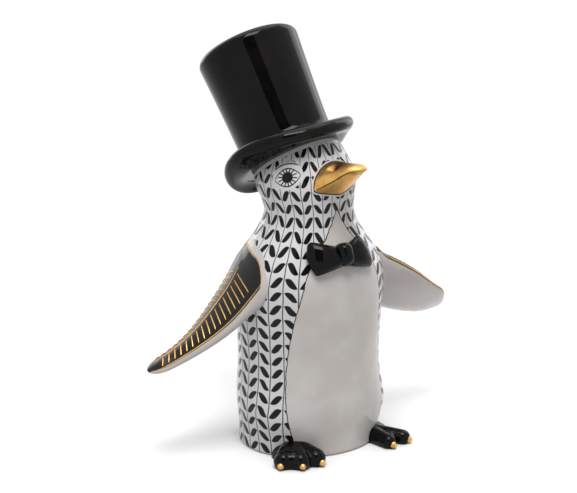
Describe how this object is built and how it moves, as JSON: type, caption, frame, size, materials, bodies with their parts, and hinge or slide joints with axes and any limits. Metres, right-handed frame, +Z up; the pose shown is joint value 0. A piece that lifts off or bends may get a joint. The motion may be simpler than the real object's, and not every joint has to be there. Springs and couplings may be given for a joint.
{
  "type": "penguin figurine",
  "caption": "Hollow porcelain penguin figurine in a tipped top hat and bow tie, wings held out, standing on a flat oval base as a shelf ornament.",
  "frame": {"origin": "middle of the flat oval base, on the surface that the figure stands on", "axes": "+Z up, the bird faces -Y, its left wing is on +X"},
  "size_m": [0.0941, 0.0586, 0.1086],
  "materials": {
    "white_porcelain": "glazed white porcelain",
    "black_glaze": "glossy black glaze",
    "gold_lustre": "fired gold lustre over porcelain"
  },
  "bodies": {
    "root": {"body_shell": "white_porcelain", "head_shell": "white_porcelain", "hat_brim": "black_glaze", "hat_crown": "black_glaze", "beak_upper": "gold_lustre", "beak_lower": "gold_lustre", "tie_knot": "black_glaze", "tie_right_loop": "black_glaze", "tie_left_loop": "black_glaze", "right_wing": "white_porcelain", "left_wing": "white_porcelain", "right_foot": "black_glaze", "left_foot": "black_glaze", "right_claws": "gold_lustre", "left_claws": "gold_lustre"}
  },
  "joints": []
}
